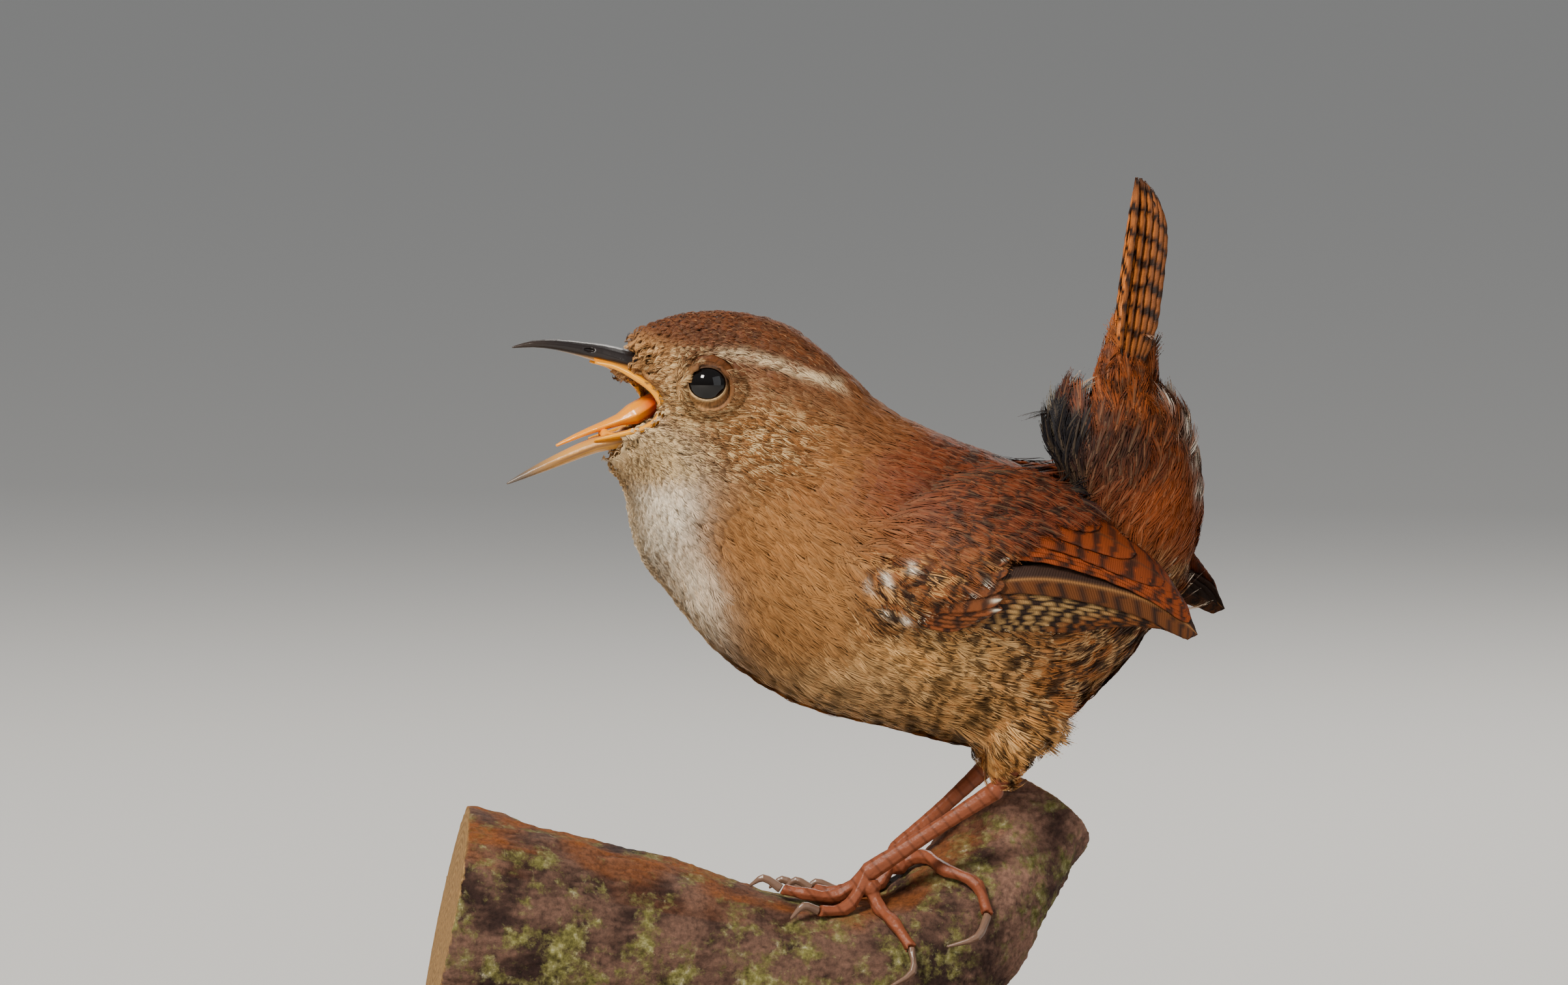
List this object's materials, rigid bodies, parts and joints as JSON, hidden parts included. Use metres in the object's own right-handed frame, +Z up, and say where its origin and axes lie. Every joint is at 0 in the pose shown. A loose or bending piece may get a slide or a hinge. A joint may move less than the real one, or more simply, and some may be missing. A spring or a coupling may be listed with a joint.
{
  "type": "wren",
  "caption": "Life-size wren model singing with its bill open and tail cocked, gripping a cut length of branch held above a flat display base by rods.",
  "frame": {"origin": "middle of the display base's flat underside", "axes": "-X the way the bird faces, +Z up, so its left side faces -Y; the base's long side lies along X"},
  "size_m": [0.101, 0.064, 0.1224],
  "materials": {
    "bill_pale": "yellowish horn, smooth",
    "bill_dark": "dark horn, smooth",
    "claw_horn": "horn",
    "eye_black": "clear and glossy, near black",
    "leg_skin": "scaled skin",
    "plumage": "soft feathers, rufous brown above and buff below",
    "bark": "rough bark with lichen",
    "dark_wood": "polished",
    "rod_brass": "satin",
    "flight_feathers": "barred rufous brown feathers",
    "mouth_yellow": "moist, yellow"
  },
  "bodies": {
    "root": {"bill_lower": "bill_pale", "bill_upper": "bill_dark", "claw_left_hallux": "claw_horn", "claw_left_inner": "claw_horn", "claw_left_middle": "claw_horn", "claw_left_outer": "claw_horn", "claw_right_hallux": "claw_horn", "claw_right_inner": "claw_horn", "claw_right_middle": "claw_horn", "claw_right_outer": "claw_horn", "eye_left": "eye_black", "eye_right": "eye_black", "foot_left": "leg_skin", "foot_right": "leg_skin", "head": "plumage", "neck": "plumage", "perch": "bark", "rump": "plumage", "stand_base": "dark_wood", "stand_rod_1": "rod_brass", "stand_rod_2": "rod_brass", "tail": "flight_feathers", "tarsus_left": "leg_skin", "tarsus_right": "leg_skin", "tibia_left": "plumage", "tibia_right": "plumage", "tongue": "mouth_yellow", "torso": "plumage", "wing_left": "flight_feathers", "wing_right": "flight_feathers"}
  },
  "joints": []
}
